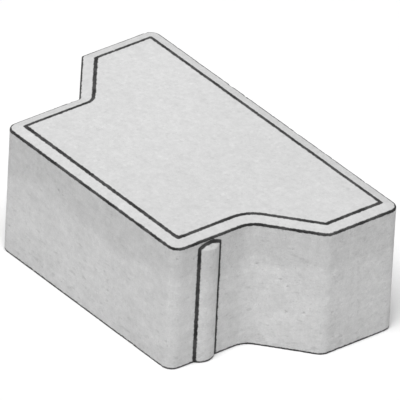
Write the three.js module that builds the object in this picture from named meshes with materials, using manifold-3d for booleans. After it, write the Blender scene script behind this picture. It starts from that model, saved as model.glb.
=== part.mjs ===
// Half stone of an interlocking concrete paver, cast in one piece.
// Its plan is a T: a wide head and a narrower waist, joined by sloping shoulders. A shallow chamfer
// runs all round the top, and an upright spacer rib stands on each end of the waist.
// Millimetres. X runs along the head, Y from the waist side to the head side, and Z is up.
// The origin is the middle of the underside.

import * as THREE from 'three';
import { mergeVertices, toCreasedNormals } from 'three/addons/utils/BufferGeometryUtils.js';
import Module from 'manifold-3d';

const wasm = await Module();
wasm.setup();

// Plan
const headLength = 165; // long side of the head, which is the whole length
const shoulderRun = 25.5; // how far each shoulder steps in from the head to the waist
const waistDepth = 38.5; // straight end face of the waist
const shoulderDepth = 21; // depth taken by the sloping shoulder
const headDepth = 37.5; // straight end face of the head
const cornerRadius = 5; // upright edges at the four outer corners
const hollowRadius = 10; // inside corner below the right shoulder
const shoulderRadius = 6; // outside corner above the right shoulder
const crispRadius = 1; // both corners of the left shoulder

// Height
const stoneHeight = 60;
const chamferWidth = 6; // measured in plan
const chamferDrop = 1.5; // measured down from the top face

// Spacer ribs
const ribPlace = 18; // from the waist side to the middle of the rib
const ribWidth = 10.5; // across the wall
const ribProud = 2.5; // out from the wall
const ribTopGap = 1.8; // from the chamfer's lower edge down to the crown of the rib's top
const ribTopRise = 1.6; // how far the rib's top arches up over its width
const ribTopFall = THREE.MathUtils.degToRad(42); // slope of the rib's top, down and away from the wall
const ribRoot = 2; // how deep the rib is rooted in the stone

// Fineness of the round stretches
const cornerSteps = 12;
const ribSteps = 12;
const creaseAngle = THREE.MathUtils.degToRad(12); // smaller angles between faces are shaded smooth

// Places that follow from the sizes
const headHalf = headLength / 2;
const waistHalf = headHalf - shoulderRun;
const stoneDepth = waistDepth + shoulderDepth + headDepth;
const waistSide = -stoneDepth / 2;
const headSide = stoneDepth / 2;
const shoulderFoot = waistSide + waistDepth;
const shoulderTop = headSide - headDepth;
const chamferFoot = stoneHeight - chamferDrop;

// The sharp corners of the plan, anticlockwise, each with the radius that rounds it.
function plan() {
  return [
    { point: new THREE.Vector2(-waistHalf, waistSide), radius: cornerRadius },
    { point: new THREE.Vector2(waistHalf, waistSide), radius: cornerRadius },
    { point: new THREE.Vector2(waistHalf, shoulderFoot), radius: hollowRadius },
    { point: new THREE.Vector2(headHalf, shoulderTop), radius: shoulderRadius },
    { point: new THREE.Vector2(headHalf, headSide), radius: cornerRadius },
    { point: new THREE.Vector2(-headHalf, headSide), radius: cornerRadius },
    { point: new THREE.Vector2(-headHalf, shoulderTop), radius: crispRadius },
    { point: new THREE.Vector2(-waistHalf, shoulderFoot), radius: crispRadius },
  ];
}

// The arc that rounds one corner, once its two sides are drawn in by an inset. The inset tightens an
// outside corner, which ends sharp, and widens an inside one.
function cornerArc(before, corner, after, inset) {
  const arriving = corner.point.clone().sub(before.point).normalize();
  const leaving = after.point.clone().sub(corner.point).normalize();
  const turn = Math.atan2(arriving.cross(leaving), arriving.dot(leaving));
  const side = Math.sign(turn);
  const radius = Math.max(corner.radius - side * inset, 0);
  // Both sides move in by one when the corner moves by the mitre.
  const inward = new THREE.Vector2(-arriving.y, arriving.x);
  const inwardNext = new THREE.Vector2(-leaving.y, leaving.x);
  const mitre = inward.clone().add(inwardNext).divideScalar(1 + inward.dot(inwardNext));
  const centre = corner.point.clone().addScaledVector(mitre, inset + side * radius);
  const start = inward.multiplyScalar(-side).angle();
  return new THREE.EllipseCurve(centre.x, centre.y, radius, radius, start, start + turn, turn < 0);
}

// The whole outline at an inset, as a ring of points. Every inset gives the same number of them.
function outline(inset) {
  const corners = plan();
  const ring = [];
  corners.forEach((corner, i) => {
    const before = corners.at(i - 1);
    const after = corners[(i + 1) % corners.length];
    ring.push(...cornerArc(before, corner, after, inset).getPoints(cornerSteps));
  });
  return ring;
}

// Skins a stack of rings and closes its bottom and top.
function loft(levels) {
  const count = levels[0].ring.length;
  const positions = levels.flatMap(({ ring, height }) => ring.flatMap((point) => [point.x, point.y, height]));
  const index = [];
  for (let level = 1; level < levels.length; level += 1) {
    const lower = (level - 1) * count;
    const upper = level * count;
    for (let i = 0; i < count; i += 1) {
      const next = (i + 1) % count;
      index.push(lower + i, lower + next, upper + next);
      index.push(lower + i, upper + next, upper + i);
    }
  }
  const lid = (levels.length - 1) * count;
  for (const [a, b, c] of THREE.ShapeUtils.triangulateShape([...levels[0].ring], [])) {
    index.push(a, c, b);
  }
  for (const [a, b, c] of THREE.ShapeUtils.triangulateShape([...levels.at(-1).ring], [])) {
    index.push(lid + a, lid + b, lid + c);
  }
  const geometry = new THREE.BufferGeometry();
  geometry.setAttribute('position', new THREE.Float32BufferAttribute(positions, 3));
  geometry.setIndex(index);
  return geometry;
}

// A closed geometry as a solid that can be joined and cut.
function toSolid(geometry) {
  geometry.deleteAttribute('normal');
  geometry.deleteAttribute('uv');
  const welded = mergeVertices(geometry);
  const corners = welded.index.array;
  const triangles = [];
  for (let i = 0; i < corners.length; i += 3) {
    const [a, b, c] = corners.subarray(i, i + 3);
    // Where an arc has shrunk to a point, its triangles have no width.
    if (a !== b && b !== c && c !== a) triangles.push(a, b, c);
  }
  const mesh = new wasm.Mesh({
    numProp: 3,
    vertProperties: welded.attributes.position.array,
    triVerts: new Uint32Array(triangles),
  });
  return new wasm.Manifold(mesh);
}

// A solid as a geometry, with its sharp edges shaded sharp.
function toGeometry(solid) {
  const { vertProperties, triVerts } = solid.getMesh();
  const geometry = new THREE.BufferGeometry();
  geometry.setAttribute('position', new THREE.Float32BufferAttribute(vertProperties, 3));
  geometry.setIndex(new THREE.Uint32BufferAttribute(triVerts, 1));
  return toCreasedNormals(geometry, creaseAngle);
}

// The stone without its ribs: upright walls, then the chamfer, drawn in to the top face.
function stoneBody() {
  const foot = outline(0);
  return toSolid(loft([
    { ring: foot, height: 0 },
    { ring: foot, height: chamferFoot },
    { ring: outline(chamferWidth), height: stoneHeight },
  ]));
}

// Radius of the arc that rises by `rise` over `half` to each side of its middle.
function arcRadius(half, rise) {
  return (half ** 2 + rise ** 2) / (2 * rise);
}

// A spacer rib on one end of the waist: side is 1 for the right end and -1 for the left.
// It is drawn with the wall at x = 0, and x running out of the wall.
function spacerRib(side) {
  const half = ribWidth / 2;
  const crown = chamferFoot - ribTopGap;

  // Plan: a round front on a root that lies inside the stone.
  const frontRadius = arcRadius(half, ribProud);
  const frontAngle = Math.atan2(half, frontRadius - ribProud);
  const section = new THREE.Shape();
  section.moveTo(-ribRoot, -half);
  section.lineTo(0, -half);
  section.absarc(ribProud - frontRadius, 0, frontRadius, -frontAngle, frontAngle);
  section.lineTo(-ribRoot, half);
  section.closePath();
  const upright = new THREE.ExtrudeGeometry(section, {
    depth: crown,
    bevelEnabled: false,
    curveSegments: ribSteps,
  });

  // Top: everything under an arch that falls away from the wall. Its section stands across the wall
  // and runs out along x, lower the further out it is.
  const archRadius = arcRadius(half, ribTopRise);
  const arch = new THREE.Shape();
  arch.moveTo(-archRadius, -archRadius - crown);
  arch.lineTo(archRadius, -archRadius - crown);
  arch.absarc(0, -archRadius, archRadius, 0, Math.PI);
  arch.closePath();
  const across = new THREE.Vector3(0, 1, 0);
  const up = new THREE.Vector3(0, 0, 1);
  const outAndDown = new THREE.Vector3(1, 0, -Math.tan(ribTopFall));
  const start = outAndDown.clone().multiplyScalar(-2 * ribRoot);
  const under = new THREE.ExtrudeGeometry(arch, {
    depth: 2 * (ribRoot + ribProud),
    bevelEnabled: false,
    curveSegments: 4 * ribSteps,
  });
  under.applyMatrix4(new THREE.Matrix4().makeBasis(across, up, outAndDown));
  under.translate(start.x, start.y, start.z + crown);

  const placing = new THREE.Matrix4().makeRotationZ(side > 0 ? 0 : Math.PI);
  placing.setPosition(side * waistHalf, waistSide + ribPlace, 0);
  return toSolid(upright.applyMatrix4(placing)).intersect(toSolid(under.applyMatrix4(placing)));
}

const concrete = new THREE.MeshStandardMaterial({ color: 0xd5d5d5, roughness: 0.95, metalness: 0 });

const stone = stoneBody().add(spacerRib(1)).add(spacerRib(-1));
const pavingStone = new THREE.Mesh(toGeometry(stone), concrete);
pavingStone.name = 'paving_stone';

const group = new THREE.Group();
group.add(pavingStone);

export default group;
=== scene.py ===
from math import cos, pi, radians, sin

import bmesh
import bpy
import numpy as np
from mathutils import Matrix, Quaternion, Vector, noise
from mathutils.kdtree import KDTree


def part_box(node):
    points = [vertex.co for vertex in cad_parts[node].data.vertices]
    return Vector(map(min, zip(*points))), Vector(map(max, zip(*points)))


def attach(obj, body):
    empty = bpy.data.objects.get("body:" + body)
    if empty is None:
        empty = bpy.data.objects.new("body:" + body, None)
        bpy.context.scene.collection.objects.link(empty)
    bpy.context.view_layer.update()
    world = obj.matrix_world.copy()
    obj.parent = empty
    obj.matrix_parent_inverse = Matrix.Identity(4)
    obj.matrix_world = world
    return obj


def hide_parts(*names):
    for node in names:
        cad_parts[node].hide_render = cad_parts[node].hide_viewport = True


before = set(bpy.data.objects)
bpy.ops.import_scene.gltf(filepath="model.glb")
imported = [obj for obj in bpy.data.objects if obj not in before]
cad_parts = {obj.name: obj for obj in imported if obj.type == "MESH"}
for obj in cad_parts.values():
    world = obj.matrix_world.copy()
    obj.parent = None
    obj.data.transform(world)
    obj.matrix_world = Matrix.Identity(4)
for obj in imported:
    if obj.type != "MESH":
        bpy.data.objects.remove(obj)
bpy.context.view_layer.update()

# The cast surface of a concrete paving stone, on a pale floor in soft light.
# Metres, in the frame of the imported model: X along the head, -Y the waist side, Z up.

MM = 0.001
STONE = "paving_stone"
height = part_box(STONE)[1].z

# Camera
AIM = Vector((9.3, 2.5, 39.7)) * MM  # the middle of the picture
AZIMUTH = radians(50.4)  # from -Y round towards +X
ELEVATION = radians(32.6)
ROLL = radians(2.98)  # anticlockwise, seen from behind the camera
DISTANCE = 6.0
LENS = 1319  # mm, on a sensor 36 mm wide

# Light
SUN_LEVEL = 0.9  # the sun's share of the light on a face turned to it
SUN_AZIMUTH = radians(33)
SUN_ELEVATION = radians(69)
SUN_ANGLE = radians(40)
SKY_LEVEL = 0.2
FLOOR_SEEN = 0.97  # the floor's tone in the picture
FLOOR_TONE = 0.86  # the floor's tone as it lights the stone
FLOOR_RADIUS, FLOOR_SIDES = 4, 64

# Relief of the cast surface. All of it is pressed inwards, so the stone keeps its size.
VOXEL = 0.4 * MM
EASING_ROUNDS = 6  # each lets a normal take in its neighbours, one voxel further out
MOST_TRIANGLES = 185_000
THINNEST = 0.03 * MM  # a triangle thinner than this is cleared away
SAME_PLACE = 0.01 * MM  # corners of the CAD model nearer than this are one
CHAMFER_DROP = 1.5 * MM
SWELL_DEPTH, SWELL_SIZE = 0.14 * MM, 16 * MM  # slow unevenness
GRAIN_DEPTH, GRAIN_SIZE = 0.06 * MM, 1.4 * MM  # sand showing through
TOP_CONTRAST = 0.45  # how strong the grain is on the denser top, next to the other sides
EDGE_ANGLE = radians(10)  # an edge of the CAD model sharper than this holds a fine groove
GROOVE_DEPTH, GROOVE_REACH = 0.12 * MM, 0.7 * MM
EDGE_REACH = 2 * MM  # the material paints a grooved edge darker this far out, as painted shade with grime, and thinning spares half as far
ARRIS_ANGLE = radians(40)  # an outward edge sharper than this is chipped
ARRIS_REACH = 2 * MM  # how far from an arris its chips spread
CHIP_DEPTH, CHIP_SIZE = 0.6 * MM, 4 * MM
CHIP_RARITY = 0.3  # 0 chips half of every arris, 1 none of it
CHIP_SEEN = 0.2 * CHIP_DEPTH  # a chip this deep or deeper shows fresh cement
PORES = 400
PORE_SEED = 7
PORE_LEAST, PORE_MOST = 0.25 * MM, 0.75 * MM  # radius
PORE_DEPTH = 0.6  # of the radius
TOP_PORES = 0.25  # how likely the denser top is to hold a pore, next to the other sides

# Noise is read from here on, because its octaves all meet at its own origin and draw a star there.
NOISE_START = Vector((370, 230, 510)) * MM

# Colour
CHAMFER_TONE = 0.975  # of the chamfer, next to the top face
CONCRETE_TONE = 0.678
LIME_PATCH = Vector((64.5, -4, 37)) * MM  # the middle of a pale patch on the right shoulder


def out_from(azimuth, elevation):
    """The unit vector that points out along an azimuth and elevation."""
    return Vector((sin(azimuth) * cos(elevation), -cos(azimuth) * cos(elevation), sin(elevation)))


def add_object(name, data):
    thing = bpy.data.objects.new(name, data)
    bpy.context.scene.collection.objects.link(thing)
    return thing


# ---------------------------------------------------------------- camera

def make_camera():
    camera = add_object("camera", bpy.data.cameras.new("camera"))
    back = out_from(AZIMUTH, ELEVATION)
    camera.location = AIM + back * DISTANCE
    camera.rotation_mode = "QUATERNION"
    camera.rotation_quaternion = back.to_track_quat("Z", "Y") @ Quaternion((0, 0, 1), ROLL)
    camera.data.lens = LENS
    bpy.context.scene.camera = camera


# ---------------------------------------------------------------- mesh

def vectors_of(items, name):
    flat = np.empty(len(items) * 3, np.float32)
    items.foreach_get(name, flat)
    return flat.reshape(-1, 3).astype(float)


def eased_normals(mesh):
    """Vertex normals that turn gently round an edge, so that its two sides don't cross when both are
    pressed in along them."""
    ends = np.empty(len(mesh.edges) * 2, np.int32)
    mesh.edges.foreach_get("vertices", ends)
    ends = ends.reshape(-1, 2)
    here = ends.ravel()
    there = ends[:, ::-1].ravel()
    normals = vectors_of(mesh.vertex_normals, "vector")
    for _ in range(EASING_ROUNDS):
        for axis in range(3):
            normals[:, axis] += np.bincount(here, normals[there, axis], len(normals))
        normals /= np.linalg.norm(normals, axis=1)[:, None]
    return normals


def store(mesh, name, values):
    mesh.attributes.new(name, "FLOAT", "POINT").data.foreach_set("value", values.astype(np.float32))


def baked(thing):
    """The mesh of an object with its modifiers applied. The object is then removed."""
    mesh = bpy.data.meshes.new_from_object(thing.evaluated_get(bpy.context.evaluated_depsgraph_get()))
    bpy.data.objects.remove(thing)
    return mesh


def even_copy(node):
    """The node's solid as a new mesh of small even faces."""
    dense = add_object("dense", node.data.copy())
    remesh = dense.modifiers.new("even", "REMESH")
    remesh.mode = "VOXEL"
    remesh.voxel_size = VOXEL
    return baked(dense)


def tree_of(points):
    tree = KDTree(len(points))
    for i, point in enumerate(points):
        tree.insert(point, i)
    tree.balance()
    return tree


def edges_of(node):
    """Points along the node's edges: a tree of the edges that hold a groove, and one of the arrises."""
    solid = bmesh.new()
    solid.from_mesh(node.data)
    bmesh.ops.remove_doubles(solid, verts=solid.verts, dist=SAME_PLACE)
    grooved = []
    arrises = []
    for edge in solid.edges:
        angle = edge.calc_face_angle_signed(0)
        start, end = (corner.co for corner in edge.verts)
        steps = max(1, round(edge.calc_length() / (VOXEL / 2)))
        points = [start.lerp(end, (i + 0.5) / steps) for i in range(steps)]
        level = min(start.z, end.z)
        # An outward edge between the foot and the chamfer is the front of a rib's top, which stays plain.
        rib_end = angle > 0 and MM < level < height - CHAMFER_DROP - MM
        if abs(angle) > EDGE_ANGLE and not rib_end:
            grooved += points
        if angle > ARRIS_ANGLE:
            arrises += points
    solid.free()
    return tree_of(grooved), tree_of(arrises)


def distances(tree, places):
    return np.array([tree.find(place)[2] for place in places.tolist()])


def noise_at(places, size, octaves=1):
    """Smooth noise, mostly in -1 to 1, with features about `size` across."""
    spots = (places + np.array(NOISE_START)) / size
    return np.array([noise.fractal(spot, 1.0, 2.0, octaves) for spot in spots.tolist()])


def pore_depths(places):
    """How deep each place lies in a pore. The pores are scattered, with fewer of them on the top."""
    rng = np.random.default_rng(PORE_SEED)
    depths = np.zeros(len(places))
    near = tree_of(places.tolist())
    chance = np.where(places[:, 2] > height - CHAMFER_DROP, TOP_PORES, 1)
    for middle in rng.choice(len(places), PORES, replace=False, p=chance / chance.sum()):
        radius = PORE_LEAST + (PORE_MOST - PORE_LEAST) * rng.random() ** 3
        for _, i, gap in near.find_range(places[middle], radius):
            depths[i] = max(depths[i], PORE_DEPTH * radius * (1 - (gap / radius) ** 2))
    return depths


def weather(mesh, node):
    """Presses the relief into the mesh, and stores how near an edge, how chipped and how deep in a pore
    each vertex is. Gives each vertex's distance from a grooved edge."""
    places = vectors_of(mesh.vertices, "co")
    normals = eased_normals(mesh)
    grooved, arrises = edges_of(node)
    from_line = distances(grooved, places)
    from_arris = distances(arrises, places)

    swell = SWELL_DEPTH * (0.5 + 0.5 * noise_at(places, SWELL_SIZE))
    grain = GRAIN_DEPTH * (0.5 + 0.5 * noise_at(places, GRAIN_SIZE, 2))
    grain *= np.where(places[:, 2] > height - CHAMFER_DROP, TOP_CONTRAST, 1)
    groove = GROOVE_DEPTH * np.clip(1 - from_line / GROOVE_REACH, 0, 1) ** 2
    chipped = np.clip(noise_at(places, CHIP_SIZE, 3) - CHIP_RARITY, 0, 1)
    chips = CHIP_DEPTH * chipped * np.clip(1 - from_arris / ARRIS_REACH, 0, 1) ** 2
    pores = pore_depths(places)
    pressed = places - normals * (swell + grain + groove + chips + pores)[:, None]

    mesh.vertices.foreach_set("co", pressed.astype(np.float32).ravel())
    store(mesh, "edge", np.clip(1 - from_line / EDGE_REACH, 0, 1))
    store(mesh, "chip", np.clip(chips / CHIP_SEEN, 0, 1))
    store(mesh, "pore", np.clip(pores / PORE_LEAST, 0, 1))
    mesh.update()
    return from_line


def thin(mesh, from_line):
    """Collapses the flattest places, away from the edges, until the mesh is light enough."""
    full = add_object("full", mesh)
    flat = full.vertex_groups.new(name="flat")
    share = np.round(np.clip(2 * from_line / EDGE_REACH, 0, 1), 1)
    for weight in np.unique(share):
        flat.add(np.flatnonzero(share == weight).tolist(), float(weight), "REPLACE")
    mesh.calc_loop_triangles()
    decimate = full.modifiers.new("thin", "DECIMATE")
    decimate.vertex_group = flat.name
    decimate.use_collapse_triangulate = True
    decimate.ratio = MOST_TRIANGLES / len(mesh.loop_triangles)
    light = baked(full)
    clear_slivers(light)
    light.shade_smooth()
    return light


def clear_slivers(mesh):
    """Clears away the slivers that the thinning left, those thinner than THINNEST."""
    solid = bmesh.new()
    solid.from_mesh(mesh)
    bmesh.ops.dissolve_degenerate(solid, dist=THINNEST, edges=solid.edges)
    bmesh.ops.triangulate(solid, faces=solid.faces)
    solid.to_mesh(mesh)
    solid.free()


# ---------------------------------------------------------------- material

class Recipe:
    """Adds nodes to a tree. Each call gives the output that later calls read."""

    def __init__(self, tree):
        self.tree = tree

    def add(self, kind, inputs, output=0, **settings):
        node = self.tree.nodes.new(kind)
        for name, value in settings.items():
            setattr(node, name, value)
        for name, value in inputs.items():
            if isinstance(value, bpy.types.NodeSocket):
                self.tree.links.new(value, node.inputs[name])
            else:
                node.inputs[name].default_value = value
        return node.outputs[output]

    def attribute(self, name):
        return self.add("ShaderNodeAttribute", {}, "Fac", attribute_name=name)

    def noise(self, place, size, detail=2, rough=0.5):
        inputs = {"Vector": place, "Scale": 1 / size, "Detail": detail, "Roughness": rough}
        return self.add("ShaderNodeTexNoise", inputs)

    def cells(self, place, size):
        """How far away the nearest of a scatter of points about `size` apart is, in sizes."""
        return self.add("ShaderNodeTexVoronoi", {"Vector": place, "Scale": 1 / size}, "Distance")

    def stretch(self, place, x, y, z):
        return self.add("ShaderNodeVectorMath", {0: place, 1: (x, y, z)}, operation="MULTIPLY")

    def span(self, value, start, end, low, high):
        """Turns start..end into low..high, smoothly, and holds the ends."""
        inputs = {"Value": value, "From Min": start, "From Max": end, "To Min": low, "To Max": high}
        return self.add("ShaderNodeMapRange", inputs, interpolation_type="SMOOTHSTEP")

    def vary(self, value, amount):
        """Turns noise into a factor that varies by `amount` to each side of 1."""
        return self.span(value, 0.3, 0.7, 1 - amount, 1 + amount)

    def math(self, operation, a, b):
        return self.add("ShaderNodeMath", {0: a, 1: b}, operation=operation)

    def mix(self, share, a, b):
        return self.add("ShaderNodeMix", {"Factor": share, "A": a, "B": b})

    def product(self, first, *others):
        for other in others:
            first = self.math("MULTIPLY", first, other)
        return first


def pebbles(recipe, spots, size, amount):
    """The tone of bits of gravel about `size` apart, some lighter than the cement and some darker."""
    away = recipe.cells(spots, size)
    inside = recipe.span(away, 0.2, 0.4, 1, 0)
    shade = recipe.add("ShaderNodeSeparateColor", {"Color": away.node.outputs["Color"]})
    lighter = recipe.math("MULTIPLY", recipe.math("SUBTRACT", shade, 0.5), 2 * amount)
    return recipe.math("ADD", recipe.math("MULTIPLY", inside, lighter), 1)


def pinholes(recipe, spots, size, radius):
    """1 in the round holes of a scatter that is about `size` apart, and 0 outside them."""
    away = recipe.cells(spots, size)
    return recipe.span(away, 0.7 * radius / size, 1.1 * radius / size, 1, 0)


def cement_tone(recipe, spots, grain, sand, pits, contrast):
    """Mottled cement with gravel and sand in it. Its pits are painted darker, painted shade with some
    dirt, and so are the gaps between its sand grains, painted shade.
    """
    mottle = recipe.product(
        recipe.vary(recipe.noise(spots, 40 * MM, 3), 0.015),
        recipe.vary(recipe.noise(spots, 6 * MM, 4, 0.6), 0.03),
        recipe.vary(recipe.noise(spots, 2.2 * MM, 3, 0.6), 0.038),
        pebbles(recipe, spots, 1.3 * MM, 0.07),
        pebbles(recipe, spots, 3.1 * MM, 0.06),
    )
    fine = recipe.product(
        recipe.vary(grain, 0.038),
        # Painted shade: darker in the pits and in the gaps between the sand grains.
        recipe.span(pits, 0, 1, 1, 0.89),
        recipe.span(sand, 0.4, 0.9, 1, 0.97),
    )
    return recipe.product(mottle, recipe.math("POWER", fine, contrast))


def cement_relief(recipe, grain, sand, pits, contrast):
    """Height in metres: grains stand up and pits lie back."""
    grains_up = recipe.span(grain, 0.3, 0.7, 0, 0.04 * MM)
    sand_up = recipe.span(sand, 0, 0.9, 0.055 * MM, 0)
    pits_down = recipe.math("MULTIPLY", pits, -0.12 * MM)
    relief = recipe.math("ADD", recipe.math("ADD", grains_up, sand_up), pits_down)
    return recipe.math("MULTIPLY", relief, contrast)


def side_shade_and_marks(recipe, spots, along, level):
    """What the sides get: a dark band of painted shade under the top, a foot painted darker as shade next
    to the floor, faint layers, and smudges drawn out along them, more of them low down."""
    wave = recipe.span(recipe.noise(spots, 24 * MM, 2), 0.25, 0.75, -4 * MM, 4 * MM)
    waved = recipe.math("ADD", level, wave)
    # Painted shade: a dark band under the top, deeper towards the left end, and a foot painted darker next
    # to the floor.
    band_shade_depth = recipe.span(along, 30 * MM, 70 * MM, 0.893, 0.92)
    painted_band_shade = recipe.span(waved, height - 23 * MM, height - 14 * MM, 1, band_shade_depth)
    painted_foot_shade = recipe.span(waved, 0, 20 * MM, 0.92, 1)
    layers = recipe.vary(recipe.noise(recipe.stretch(spots, 0.2, 0.2, 1), 2.5 * MM, 3), 0.022)
    blotches = recipe.vary(recipe.noise(recipe.stretch(spots, 0.5, 0.5, 1), 4 * MM, 3, 0.6), 0.02)
    drawn_out = recipe.noise(recipe.stretch(spots, 0.45, 0.45, 1), 2 * MM, 2)
    lower_more = recipe.math("ADD", drawn_out, recipe.span(level, 0, 35 * MM, 0.04, -0.02))
    smudges = recipe.span(lower_more, 0.61, 0.74, 1, 0.88)
    return recipe.product(painted_band_shade, painted_foot_shade, layers, blotches, smudges)


def edge_grime_and_shade(recipe, spots, rough):
    """Ragged, uneven dark lines in and beside the grooves along the edges, painted shade with grime, and a
    faint darkening further out, stain and painted shade.
    """
    ragged = recipe.math("ADD", recipe.attribute("edge"), recipe.span(rough, 0.3, 0.7, -0.08, 0.08))
    # Painted shade with grime: nearly black in the grooves, fading to a faint darkening beside them.
    grime_and_shade = recipe.span(recipe.noise(spots, 6 * MM, 4, 0.6), 0.35, 0.65, 0.04, 0.14)
    stain_and_shade = recipe.span(ragged, 0.35, 0.75, 1, 0.75)
    return recipe.product(recipe.span(ragged, 0.48, 0.68, 1, grime_and_shade), stain_and_shade)


def lime_patch(recipe, place, spots):
    """A pale bloom with a ragged outline."""
    inputs = {0: place, 1: LIME_PATCH}
    away = recipe.add("ShaderNodeVectorMath", inputs, "Value", operation="DISTANCE")
    wobble = recipe.span(recipe.noise(spots, 3 * MM, 3), 0.3, 0.7, -2 * MM, 2 * MM)
    return recipe.span(recipe.math("ADD", away, wobble), 1 * MM, 7 * MM, 1.06, 1)


def concrete():
    material = bpy.data.materials.new("concrete")
    material.use_nodes = True
    recipe = Recipe(material.node_tree)
    place = recipe.add("ShaderNodeTexCoord", {}, "Object")
    spots = recipe.add("ShaderNodeVectorMath", {0: place, 1: NOISE_START}, operation="ADD")
    split = recipe.add("ShaderNodeSeparateXYZ", {"Vector": place}).node
    along = split.outputs["X"]
    level = split.outputs["Z"]
    on_top = recipe.span(level, height - CHAMFER_DROP * 1.1, height - CHAMFER_DROP * 0.9, 0, 1)
    contrast = recipe.span(on_top, 0, 1, 1, TOP_CONTRAST)

    grain = recipe.noise(spots, 0.5 * MM, 4, 0.65)
    sand = recipe.cells(spots, 0.6 * MM)
    rough = recipe.noise(spots, 1.6 * MM, 4, 0.7)
    rough_pits = recipe.span(rough, 0.62, 0.75, 0, 1)
    pits = recipe.math("MAXIMUM", rough_pits, pinholes(recipe, spots, 3.5 * MM, 0.26 * MM))

    # The top is painted slightly darker towards the right end, a painted falloff of the light across it.
    painted_top_falloff = recipe.span(along, -80 * MM, 80 * MM, 1.02, 0.97)
    chamfer = recipe.span(level, height - CHAMFER_DROP * 0.4, height - CHAMFER_DROP * 0.2, CHAMFER_TONE, 1)
    tone = recipe.product(
        cement_tone(recipe, spots, grain, sand, pits, contrast),
        CONCRETE_TONE,
        recipe.mix(on_top, side_shade_and_marks(recipe, spots, along, level), recipe.product(painted_top_falloff, chamfer)),
        edge_grime_and_shade(recipe, spots, rough),
        # Pores are painted darker: painted shade in the hollows, with some dirt.
        recipe.span(recipe.attribute("pore"), 0.1, 0.6, 1, 0.9),
        recipe.span(recipe.attribute("chip"), 0, 1, 1, 1.04),
        lime_patch(recipe, place, spots),
    )
    colour = recipe.add("ShaderNodeCombineColor", {"Red": tone, "Green": tone, "Blue": tone})
    relief = cement_relief(recipe, grain, sand, pits, contrast)
    bump = recipe.add("ShaderNodeBump", {"Height": relief, "Distance": 1.0, "Strength": 1.0})

    shader = material.node_tree.nodes["Principled BSDF"]
    links = material.node_tree.links
    links.new(colour, shader.inputs["Base Color"])
    links.new(recipe.span(grain, 0.3, 0.7, 0.98, 0.88), shader.inputs["Roughness"])
    links.new(bump, shader.inputs["Normal"])
    shader.inputs["Specular IOR Level"].default_value = 0.3
    return material


def make_stone():
    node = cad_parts[STONE]
    mesh = even_copy(node)
    from_line = weather(mesh, node)
    stone = add_object("cast_stone", thin(mesh, from_line))
    stone.data.materials.clear()
    stone.data.materials.append(concrete())
    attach(stone, "root")
    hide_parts(STONE)


# ---------------------------------------------------------------- stage

def seen(recipe):
    """1 on a ray from the camera, also by way of a mirror or glass, and 0 on one that lights."""
    path = recipe.add("ShaderNodeLightPath", {}, "Is Camera Ray").node
    mirrored = recipe.math("MAXIMUM", path.outputs["Is Camera Ray"], path.outputs["Is Glossy Ray"])
    return recipe.math("MAXIMUM", mirrored, path.outputs["Is Transmission Ray"])


def make_floor():
    mesh = bpy.data.meshes.new("floor")
    disc = bmesh.new()
    bmesh.ops.create_circle(disc, cap_ends=True, segments=FLOOR_SIDES, radius=FLOOR_RADIUS)
    disc.to_mesh(mesh)
    disc.free()
    material = bpy.data.materials.new("pale_floor")
    material.use_nodes = True
    recipe = Recipe(material.node_tree)
    tone = recipe.span(seen(recipe), 0, 1, FLOOR_TONE, FLOOR_SEEN)
    shader = material.node_tree.nodes["Principled BSDF"]
    material.node_tree.links.new(tone, shader.inputs["Base Color"])
    shader.inputs["Roughness"].default_value = 1
    shader.inputs["Specular IOR Level"].default_value = 0
    mesh.materials.append(material)
    add_object("floor", mesh)


def make_light():
    sun = add_object("soft_sun", bpy.data.lights.new("soft_sun", "SUN"))
    sun.data.energy = SUN_LEVEL * pi
    sun.data.angle = SUN_ANGLE
    sun.rotation_mode = "QUATERNION"
    sun.rotation_quaternion = out_from(SUN_AZIMUTH, SUN_ELEVATION).to_track_quat("Z", "Y")

    world = bpy.data.worlds.new("sky")
    world.use_nodes = True
    recipe = Recipe(world.node_tree)
    background = world.node_tree.nodes["Background"]
    background.inputs["Color"].default_value = (1, 1, 1, 1)
    strength = recipe.span(seen(recipe), 0, 1, SKY_LEVEL, 1)
    world.node_tree.links.new(strength, background.inputs["Strength"])
    bpy.context.scene.world = world


make_camera()
make_stone()
make_floor()
make_light()
bpy.context.scene.view_settings.view_transform = "Standard"
